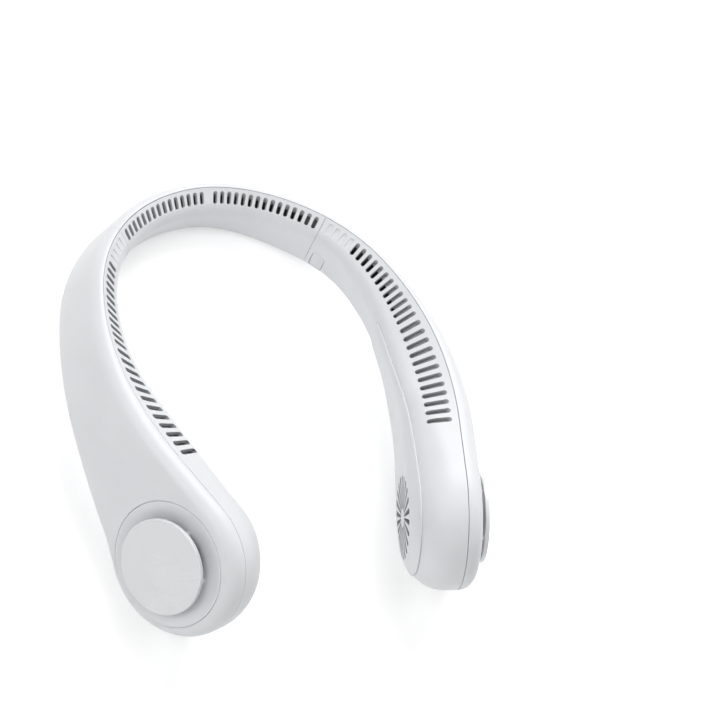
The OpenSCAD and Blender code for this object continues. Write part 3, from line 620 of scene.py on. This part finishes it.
# air slots, with softened lips
slots = {
    "bandCount": 15, "bandPitch": 3.6, "armCount": 12, "blindCount": 4,
    "closePitch": 3.8, "widePitch": 4.87, "shortLength": 5.5, "longLength": 10.9,
    "startIn": 1.9, "farIn": 3.3, "closeWidth": 1.7, "wideWidth": 2.2, "skew": 9,
    "blindDepth": 0.5, "blindRise": 0.9, "reach": 5.2, "over": 1, "lip": 0.22, "draft": 1.3,
}
blindAt = seam["jointAt"] + slots["closePitch"]
openAt = blindAt + slots["blindCount"] * slots["closePitch"]
wideAt = openAt + (slots["armCount"] - 1) * slots["closePitch"] + slots["widePitch"]


def slotSpan(a):
    # how far in from the seam line a slot starts, and its length
    grow = float(ease((a - blindAt) / (sideEndAt - blindAt)))
    return [mix(slots[x], slots[y], grow)
            for x, y in (("startIn", "farIn"), ("shortLength", "longLength"))]


def sloped(y, z, slope):
    return y * math.cos(slope) + z * math.sin(slope), z * math.cos(slope) - y * math.sin(slope)


def slotCutters(places, left=False):
    # each slot runs across the slotted face, from near the seam line inwards
    points, faces, kinds = [], [], []
    for s, width, depth in places:
        a = abs(s)
        start, length = slotSpan(a)
        skew = math.radians(slots["skew"] * float(ease((a - neckLength) / paddleAt)))
        slope = float(slopeAt(np.array(a)))
        ringPoints, ringFaces = stack(lipped(lambda g: bar(length + 2 * g, width + 2 * g),
                                             slots["over"], depth, slots["lip"]))
        local = []
        for x, z, y in ringPoints:  # the slot lies across the face, so y and z change places
            share = z / length + 0.5
            if y < 0 and depth < shell["wall"]:
                y *= 1 - slots["blindRise"] * (1 - share)  # a blind slot fades inwards
            elif y < 0:
                z += slots["draft"] * share * y / shell["wall"]  # an open one has a sloping end
            z -= start + length / 2
            x, z = x * math.cos(skew) - z * math.sin(skew), x * math.sin(skew) + z * math.cos(skew)
            local.append((x,) + sloped(y, z, slope))
        faces += [tuple(k + len(points) for k in face) for face in ringFaces]
        # open slots' walls take the mid grey inside look, painted shade in the slots; blind slots
        # keep the shell's white
        kinds += [int(depth > shell["wall"])] * len(ringFaces)
        points += list(moved(frameMatrix(s, 0, 0, left), np.array(local)))
    return solidFrom("slotCuts", points, faces, 0, kinds, ("shell", "inside"))


def armSlots(left):
    close, wide = slots["closeWidth"], slots["wideWidth"]
    places = [(blindAt + k * slots["closePitch"], close, slots["blindDepth"])
              for k in range(slots["blindCount"])]
    places += [(openAt + k * slots["closePitch"], close, slots["reach"])
               for k in range(slots["armCount"])]
    places += [(wideAt + k * slots["widePitch"], wide, slots["reach"])
               for k in range(slots["armCount"])]
    return slotCutters(places, left)


def bandSlots():
    return slotCutters([(side * (k + 1) * slots["bandPitch"], slots["closeWidth"], slots["reach"])
                        for side in (-1, 1) for k in range(slots["bandCount"])])


# air guides: thin sloping walls under the slots, narrow at the band and wide near the paddle; their
# mid grey is painted shade that darkens what shows through the slots
guide = {"narrow": 1.9, "past": 0.6, "lap": 0.3, "under": 0.12, "drop": 0.3, "slant": 0.12,
         "thick": 0.8, "step": 2.5}


def guidePiece(name, start, end, left=False):
    rings = []
    for s in np.linspace(start, end, round((end - start) / guide["step"]) + 1):
        a = abs(s)
        outerEnd, length = slotSpan(a)
        grown = float(ease((a - openAt) / (wideAt + slots["widePitch"] - openAt)))
        wide = mix(guide["narrow"], length + guide["past"], grown)
        high = -shell["wall"] - guide["under"]
        low, slope = high - guide["drop"] - guide["slant"] * wide, float(slopeAt(np.array(a)))
        near, far = guide["lap"] - outerEnd, -outerEnd - wide
        thick = guide["thick"]
        corners = ((high, near), (low, far), (low - thick, far), (high - thick, near))
        local = [(0,) + sloped(y, z, slope) for y, z in corners]
        rings.append(moved(frameMatrix(s, 0, 0, left), np.array(local)))
    points, faces = stack(rings)
    piece = solidFrom(name, np.array(points), faces, 0, None, ("inside",))
    smooth(piece)
    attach(piece, "shells")


# inner panel: its edge lies part of the way round the inner corner, and its rear end is an arch
panel = {"start": 111, "arch": 13, "turn": 52, "thick": 2, "proud": 0.8, "soft": 0.45, "gap": 0.14,
         "fit": 0.05, "tuck": (-2.2, -1.0, -0.3), "draw": 0.45, "over": 1.2, "cutHigh": 1.6,
         "cutPast": 2, "sharp": 28}


def panelLevels(s, proud, wider, soft):
    depth, corner = float(inAt(s)), float(cornerAt(s))
    tucked, rows = len(panel["tuck"]), fine["panelCorner"]
    turned = np.linspace(panel["turn"], 90, rows)
    t = np.radians(np.concatenate([[panel["turn"]] * tucked, turned]))
    lift = proud + np.array(list(panel["tuck"]) + [0] * rows) * soft
    edge = np.array([wider] * tucked + [wider - soft * panel["draw"]] + [0] * (rows - 1))
    u = mix(corner - depth, -depth, np.sin(t)) - lift * np.sin(t) + edge * np.cos(t)
    d = mix(0, corner, 1 - np.cos(t)) - lift * np.cos(t) - edge * np.sin(t)
    return u, d


def panelBlank(name, proud, deep, wider, soft, left, skins=("shell",)):
    start = panel["start"] - wider
    skin, back = (armRows(lambda s: panelLevels(s, lift, wider, softened), start, fine["panelFace"],
                          fine["panelArm"], fine["panelEnd"])
                  for lift, softened in ((proud, soft), (-deep, 0)))
    piece = slab(name, skin, back, left, False, skins)
    s0 = np.array(float(panel["start"]))
    halfHeight = -float(lowAt(s0)) / 2
    drawnIn = float(cornerAt(s0)) * (1 - math.cos(math.radians(panel["turn"])))
    width, reach = halfHeight - drawnIn + wider, panel["arch"] + wider
    big, past = halfHeight * panel["cutHigh"], panel["cutPast"]
    arc = [(-reach * math.cos(t), width * math.sin(t))
           for t in np.radians(np.linspace(-90, 90, fine["arch"] + 1))]
    outline = [(0, -big), (0, -width)] + arc[1:-1]
    outline += [(0, width), (0, big), (-past * reach, big), (-past * reach, -big)]
    at = float(s0) + panel["arch"]
    m = frameMatrix(at, 0, -halfHeight, left)
    return combine(piece, [prism("archCut", outline, -past * float(inAt(at)), past, m)])


# radial slots of the grille over the paddle
screen = {"radius": 18.4, "inner": 4.6, "count": 22, "outerWidth": 2.4, "innerWidth": 0.7,
          "innerRound": (100, 260, 7), "outerRound": (-80, 80, 11), "over": 2, "deep": 4,
          "lip": 0.2, "holeGap": 0.15, "hole": (-30, -15)}


def grilleCutters(left):
    points, faces, depth = [], [], -shell["paddleIn"] - panel["proud"]
    far = screen["radius"] - screen["outerWidth"] / 2

    def outline(grow):
        r0, r1 = screen["innerWidth"] / 2 + grow, screen["outerWidth"] / 2 + grow
        return ([(screen["inner"] + r0 * math.cos(t), r0 * math.sin(t))
                 for t in np.radians(np.linspace(*screen["innerRound"]))]
                + [(far + r1 * math.cos(t), r1 * math.sin(t))
                   for t in np.radians(np.linspace(*screen["outerRound"]))])

    for k in range(screen["count"]):
        a = 2 * math.pi * k / screen["count"]
        turn = np.array([[math.cos(a), math.sin(a), 0], [-math.sin(a), math.cos(a), 0], [0, 0, 1]])
        ringPoints, ringFaces = stack(lipped(outline, screen["over"], screen["deep"],
                                             screen["lip"], 1))
        faces += [tuple(i + len(points) for i in face) for face in ringFaces]
        points += list(moved(fanMatrix(left), np.array(ringPoints) @ turn + [0, 0, depth]))
    # the grille slots' walls take the mid grey inside look: painted shade in the slots
    return solidFrom("grilleCuts", points, faces, 0, [1] * len(faces), ("shell", "inside"))


# dished intake ring, whose flange lies on a ledge of the outer shell, foot below its face
ring = {"radius": 26, "hole": 15.3, "dish": 2.4, "thick": 1.5, "edge": 0.8, "gap": 0.2, "lip": 0.2,
        "mouth": 1.0, "mouthDeep": 0.6, "underMouth": 1.2, "flange": 1.9, "bevel": 0.4,
        "foot": 0.88, "footEdge": 0.86, "topEdge": 0.02, "ledge": 0.9, "over": 3, "bore": 12,
        "rounds": {2: 0.25, 3: 0.3, 4: 0.7, 5: 0.35}}


def lathe(name, profile, m, skin="shell", count=fine["lathe"]):
    # turns a list of (r, z) about local z
    points, faces, n = [], [], len(profile)
    for t in np.linspace(0, 2 * math.pi, count, endpoint=False):
        points += [(r * math.cos(t), r * math.sin(t), z) for r, z in profile]
    for i in range(count):
        k = (i + 1) % count
        faces += [(i * n + j, k * n + j, k * n + j + 1, i * n + j + 1) for j in range(n - 1)]
    return solidFrom(name, moved(m, np.array(points)), faces, fine["weld"] / 2, None, (skin,))


def fillet(profile, radii, steps=fine["fillet"]):
    # rounds the corners of an open profile
    done = [profile[0]]
    for k in range(1, len(profile) - 1):
        p, a, b = (np.array(profile[i], float) for i in (k, k - 1, k + 1))
        r = radii.get(k, 0)
        if not r:
            done.append(tuple(p))
            continue
        da, db = (a - p) / np.linalg.norm(a - p), (b - p) / np.linalg.norm(b - p)
        for i in range(steps + 1):
            t = i / steps
            start, end = (1 - t) ** 2 * (p + da * r), t ** 2 * (p + db * r)
            done.append(tuple(start + 2 * t * (1 - t) * p + end))
    return done + [profile[-1]]


def ringPiece(name, left):
    out, r, hole = shell["paddleOut"], ring["radius"], ring["hole"]
    dish, inner, foot = out - ring["dish"], r - ring["flange"], out - ring["foot"]
    under = dish - ring["thick"]
    profile = [(r - ring["bevel"], foot), (r, out - ring["footEdge"]), (r, out - ring["topEdge"]),
               (r - ring["edge"], out), (hole + ring["mouth"], dish),
               (hole, dish - ring["mouthDeep"]), (hole, under), (hole + ring["underMouth"], under),
               (inner, out - ring["thick"]), (inner, foot), (r - ring["bevel"], foot)]
    return lathe(name, fillet(profile, ring["rounds"]), fanMatrix(left))


# cap that stands over the ring on posts, which flare out where they meet it
cap = {"radius": 19.7, "thick": 2, "rise": 4.7, "flat": 0.6, "crown": 0.05, "fall": 0.1, "rim": 1.4,
       "rounds": {2: 0.5, 3: 0.3}, "posts": 5, "postRadius": 1.1, "postAt": 16.5, "postTurn": 25.2,
       "root": 0.3, "rootStep": 0.02, "rootDrop": 0.4, "foot": 0.2, "footRise": 0.3,
       "footSunk": 0.05}


def capPiece(name, left):
    top, r, m = shell["paddleOut"] + cap["rise"], cap["radius"], fanMatrix(left)
    under, dish = top - cap["thick"], shell["paddleOut"] - ring["dish"]
    profile = [(0, top), (r * cap["flat"], top - cap["crown"]), (r, top - cap["fall"]), (r, under),
               (r - cap["rim"], under), (0, under)]
    face = lathe(name, fillet(profile, cap["rounds"]), m, "cap")
    p = cap["postRadius"]
    post = [(0, under + cap["root"]), (p + cap["root"], under + cap["root"]),
            (p + cap["root"], under - cap["rootStep"]), (p, under - cap["rootDrop"]),
            (p, dish + cap["footRise"]), (p + cap["foot"], dish - cap["footSunk"]),
            (0, dish - cap["footSunk"])]
    posts = []
    for k in range(cap["posts"]):
        a, reach = math.radians(cap["postTurn"] + 360 * k / cap["posts"]), cap["postAt"]
        at = shifted(m, reach * math.cos(a), reach * math.sin(a))
        posts.append(lathe("post", post, at, "cap", fine["smallCircle"]))
    return combine(face, posts, "UNION")


# plug over the joint screw, whose lower end goes into the round of the shell's lower edge
plug = {"width": 6.2, "height": 11.9, "low": 11.8, "deep": 1.2, "fromJoint": 5.8, "over": 3,
        "gap": 0.2, "sunk": 0.12, "soft": 0.25, "bend": 0.3, "screw": 1.25, "screwHole": (0.5, 4)}
plugPlace = seam["jointAt"] + plug["fromJoint"]
plugRound = float(cornerAt(plugPlace))
plugBend = plugRound - plug["low"]  # where the face starts to turn into the edge


def plugOutline(grow):
    r = plug["width"] / 2
    bottom = r - plug["height"]
    points = [(-r - grow, plugBend), (-r - grow, bottom - grow), (r + grow, bottom - grow),
              (r + grow, plugBend)]
    return points + [((r + grow) * math.cos(t), (r + grow) * math.sin(t))
                     for t in np.radians(np.linspace(0, 180, fine["smallCircle"] + 1))]


def plugMatrix(left):
    at = float(lowAt(plugPlace)) + plug["low"]
    return frameMatrix(plugPlace, -float(inAt(plugPlace)), at, left)


def plugPiece(name, left):
    soft, sunk, bend, rings = plug["soft"], plug["sunk"], plug["soft"] * plug["bend"], []
    for z, grow in [(plug["deep"], 0), (sunk + soft, 0), (sunk + bend, -bend), (sunk, -soft)]:
        ringNow = []
        for x, y in plugOutline(grow):
            under = max(plugBend - y, 0)
            follow = plugRound - math.sqrt(plugRound ** 2 - under ** 2)
            ringNow.append((x, y, z + (follow if z < plug["deep"] else 0)))
        rings.append(ringNow)
    points, faces = stack(rings)
    top = faces.pop(1)  # bent where the lower end turns away, so it is two faces
    faces += [top[:4], (top[0],) + top[3:]]
    return solidFrom(name, moved(plugMatrix(left), np.array(points)), faces)


# screw posts inside the shells, as places along the seam line and shares of the height
posts = {"places": ((126.1, 0.55), (157.455, 0.4), (170.455, 0.66)),
         "heightAt": (111, 144.455, 144.455),
         "radius": 2.2, "hole": 1.1, "gap": 0.4, "head": 2.25, "headDeep": 2.65, "clear": 1.25,
         "over": 1, "through": 5, "cellAt": 103, "cellOut": 2.2, "cellHeight": 12.3,
         "cellReach": 13.333, "cellGap": 0.05}


def screwPlaces():
    return [(s, share * float(lowAt(float(h))))
            for (s, share), h in zip(posts["places"], posts["heightAt"])]


def postParts(left):
    # the outer shell's posts for the screws and the two that the cell rests against
    parts, holes, outline = [], [], circle(posts["radius"], fine["smallCircle"])
    for s, v in screwPlaces():
        m, deep = frameMatrix(s, 0, v, left), -float(inAt(s))
        start, end = deep + shell["faceWall"] + posts["gap"], float(outAt(s)) - shell["wall"] / 2
        parts.append(prism("post", outline, start, end, m))
        holes.append(prism("hole", circle(posts["hole"], fine["hole"]), deep, 0, m))
    s = float(posts["cellAt"])
    start, end = posts["cellGap"] - posts["cellOut"], float(outAt(s)) - shell["wall"]
    for side in (-1, 1):
        m = shifted(frameMatrix(s, 0, float(lowAt(s)) + posts["cellHeight"], left),
                    side * posts["cellReach"])
        parts.append(prism("post", outline, start, end, m))
    return parts, holes


# the right arm's lower edge: charging socket, light and button, in a frame with z out of the edge
power = {
    "at": 148, "out": -8, "pitch": 9.5, "cut": 2.8, "over": 2, "lip": 0.25,
    "socketLength": 9.24, "socketWidth": 3.56, "light": 1.05,
    "length": 10, "width": 4.4, "gap": 0.3, "proud": 0.9, "end": -3.2,
    "flange": 0.8, "flangeThick": 1, "flangeEdge": 0.1, "dish": 0.14, "round": 0.45,
    "roundSteps": ((1, 0), (0.62, 0.07), (0.29, 0.29), (0.07, 0.62), (0, 1)),
    "dishSteps": ((0.7, 0.6), (1, 1.3)),
}


def powerMatrix(step):
    s = float(power["at"])
    f, m = float(fallAt(s)), frameMatrix(s, power["out"], float(lowAt(s)))
    along, up, out = m[:3, 0].copy(), m[:3, 1].copy(), m[:3, 2].copy()
    m[:3, 0] = out
    m[:3, 1] = math.cos(f) * along - math.sin(f) * up
    m[:3, 2] = -math.cos(f) * up - math.sin(f) * along
    m[:3, 3] += m[:3, 1] * step * power["pitch"]
    return m


def powerCutters():
    def hole(length, width):
        return lambda g: bar(length + 2 * g, width + 2 * g, fine["socketEnd"])

    gap = 2 * power["gap"]
    shapes = [(-1, hole(power["socketLength"], power["socketWidth"])),
              (0, lambda g: circle(power["light"] + g, fine["smallCircle"])),
              (1, hole(power["length"] + gap, power["width"] + gap))]
    cutters = []
    for step, outlineAt in shapes:
        points, faces = stack(lipped(outlineAt, power["over"], power["cut"], power["lip"]))
        cutters.append(solidFrom("powerCut", moved(powerMatrix(step), np.array(points)), faces))
    return cutters


def buttonPiece(name):
    top, soft, flange = power["proud"], power["round"], power["flange"]
    flangeTop, edge = power["end"] + power["flangeThick"], power["flangeEdge"]
    levels = [(power["end"], flange), (flangeTop - edge, flange), (flangeTop, flange - edge),
              (flangeTop, 0)]
    levels += [(top - soft * down, -soft * inwards) for down, inwards in power["roundSteps"]]
    levels += [(top - power["dish"] * down, -soft - inwards)
               for down, inwards in power["dishSteps"]]
    length, width = power["length"], power["width"]
    points, faces = stack([[(x, y, z)
                            for x, y in bar(length + 2 * g, width + 2 * g, fine["buttonEnd"])]
                           for z, g in levels])
    return solidFrom(name, moved(powerMatrix(1), np.array(points)), faces, 0, None, ("button",))


# rear band
outer = slab("bandOuter", bandRows(outLevels, fine["bandOuterFace"]),
             bandRows(outWall, fine["bandOuterFace"]), False, True)
finishPiece(outer, "neck_band_outer", "shells")
inner = slab("bandInner", bandRows(inLevels, fine["bandInnerFace"]),
             bandRows(inWall, fine["bandInnerFace"]), False, True)
finishPiece(combine(inner, [bandSlots()]), "neck_band_inner", "shells")
reach = (slots["bandCount"] + 0.5) * slots["bandPitch"]
guidePiece("bandAirGuide", -reach, reach)
print("band ready:", len(inner.data.polygons), "faces")


def outerShell(name, left):
    start, rows, m = seam["jointAt"], fine["outerFace"], fanMatrix(left)
    outer = slab(name, armRows(outLevels, start, rows), armRows(outWall, start, rows), left)
    parts, holes = postParts(left)
    combine(combine(outer, parts, "UNION"), holes)
    seat = ring["radius"] + ring["gap"]
    rings = lipped(lambda g: circle(seat + g), ring["over"], ring["ledge"], ring["lip"], 1)
    points, faces = stack([[(x, y, shell["paddleOut"] - z) for x, y, z in level]
                           for level in rings])
    combine(outer, [solidFrom("seat", moved(m, np.array(points)), faces)])
    bore = circle(ring["radius"] - shell["wall"])
    return combine(outer, [prism("hole", bore, 0, ring["bore"], m)])


def innerShell(name, left):
    start, rows = seam["jointAt"], fine["innerFace"]
    inner = slab(name, armRows(inLevels, start, rows), armRows(inWall, start, rows), left)
    combine(inner, [armSlots(left)])
    deep = panel["thick"] - panel["proud"] + panel["fit"]
    combine(inner, [panelBlank("recess", panel["over"], deep, panel["gap"], 0, left)], folded=True)
    opening = circle(screen["radius"] + screen["holeGap"])
    combine(inner, [prism("grilleHole", opening, *screen["hole"], fanMatrix(left))])
    at = plugMatrix(left)
    combine(inner, [prism("plugSeat", plugOutline(plug["gap"]), -plug["over"], plug["deep"], at),
                    prism("plugHole", circle(plug["screw"], fine["smallCircle"]),
                          *plug["screwHole"], at)])
    for s, v in screwPlaces():
        at = frameMatrix(s, -float(inAt(s)), v, left)
        combine(inner, [prism("hole", circle(posts[size], fine["smallCircle"]), -posts["over"],
                              posts[deep], at)
                        for size, deep in (("clear", "through"), ("head", "headDeep"))])
    return inner if left else combine(inner, powerCutters())


for left in (False, True):
    side = "left" if left else "right"
    finishPiece(outerShell(side + "Outer", left), side + "_arm_outer", "shells")
    inner = innerShell(side + "Inner", left)
    finishPiece(inner, side + "_arm_inner", "shells")
    lastSlot = wideAt + (slots["armCount"] - 0.5) * slots["widePitch"]
    guidePiece(side + "AirGuide", openAt - slots["closePitch"] / 2, lastSlot, left)

    panelPiece = panelBlank(side + "Panel", panel["proud"], panel["thick"] - panel["proud"], 0,
                            panel["soft"], left, ("shell", "inside"))
    combine(panelPiece, [grilleCutters(left)])
    finishPiece(panelPiece, side + "_inner_panel", "shells", panel["sharp"])
    finishPiece(ringPiece(side + "Ring", left), side + "_intake_ring", "shells")
    finishPiece(capPiece(side + "Cap", left), side + "_intake_cap", "shells")
    finishPiece(plugPiece(side + "Plug", left), side + "_joint_plug", "shells")
    print(side, "arm ready:", len(inner.data.polygons), "faces")

finishPiece(buttonPiece("powerButton"), "power_button", "button")
print("button ready")

# camera at the photograph's place, in metres
view = {"at": (-0.48894, -0.295225, 0.806728), "forward": (0.54115, 0.30498, -0.78367),
        "up": (0.08713, 0.90656, 0.41298), "lens": 112.0875, "sensor": 36, "near": 0.05, "far": 20}
eye = bpy.data.cameras.new("camera")
eye.sensor_width, eye.lens = view["sensor"], view["lens"]
eye.clip_start, eye.clip_end = view["near"], view["far"]
camera = bpy.data.objects.new("camera", eye)
bpy.context.scene.collection.objects.link(camera)
back, up = -Vector(view["forward"]), Vector(view["up"])
turned = Matrix((up.cross(back), up, back)).transposed().to_4x4()
camera.matrix_world = Matrix.Translation(view["at"]) @ turned
bpy.context.scene.camera = camera

# pale floor that shows as white, with the object's shadow on it, in metres
studio = {"tone": 0.95, "mottle": 0.02, "mottleSize": 60, "rough": 0.9, "roughSpread": 0.1,
          "lift": 0.36, "near": 0.6, "far": 2.5, "world": 0.1, "half": 6}
half = studio["half"]
floorMesh = bpy.data.meshes.new("floor")
corners = [(-half, -half, 0), (half, -half, 0), (half, half, 0), (-half, half, 0)]
floorMesh.from_pydata(corners, [], [(0, 1, 2, 3)])
floor = bpy.data.objects.new("floor", floorMesh)
bpy.context.scene.collection.objects.link(floor)
ground = Look(bpy.data.materials.new("floor"))
low, high = ((tone, tone, tone, 1) for tone in (studio["tone"], studio["tone"] + studio["mottle"]))
mottle = ground.noise(studio["mottleSize"], 3)
ground.set(Base_Color=ground.between(mottle, low, high), Specular_IOR_Level=0.0)
ground.set(Roughness=studio["rough"] + (mottle - 0.5) * studio["roughSpread"])
away = ground.node("VectorMath", {"operation": "LENGTH"}, {"Vector": ground.where()}, "Value")
glow = ground.spread(away, studio["near"], studio["far"], studio["lift"], 1.0)
ground.set(Emission_Color=ground.between(ground.seenShare(), (0, 0, 0, 1), glow))
ground.set(Emission_Strength=1.0)
floorMesh.materials.append(ground.owner)

# soft round lamps at one distance from the object: turn from +X and height in degrees, and watts
lamps = {"key": (66, 48, 27), "left": (180, 42, 13), "right": (0, 30, 9), "front": (240, 27, 6.5),
         "top": (0, 90, 5)}
lampSet = {"far": 2.0, "size": 1.4, "aim": (0, 0, 0.03)}
for name, (turn, height, watts) in lamps.items():
    lamp = bpy.data.lights.new(name, "AREA")
    lamp.shape, lamp.size, lamp.energy = "DISK", lampSet["size"], watts
    lampObject = bpy.data.objects.new(name, lamp)
    flat, high = math.cos(math.radians(height)), math.sin(math.radians(height))
    turn = math.radians(turn)
    towards = Vector((flat * math.cos(turn), flat * math.sin(turn), high))
    lampObject.location = Vector(lampSet["aim"]) + towards * lampSet["far"]
    lampObject.rotation_euler = (-towards).to_track_quat("-Z", "Y").to_euler()
    bpy.context.scene.collection.objects.link(lampObject)
sky = Look(bpy.data.worlds.new("studio"), "Background")
sky.set(Color=(1, 1, 1, 1), Strength=sky.seenShare() * (1 - studio["world"]) + studio["world"])
bpy.context.scene.world = sky.owner
bpy.context.scene.view_settings.view_transform = "Standard"
print("studio ready")
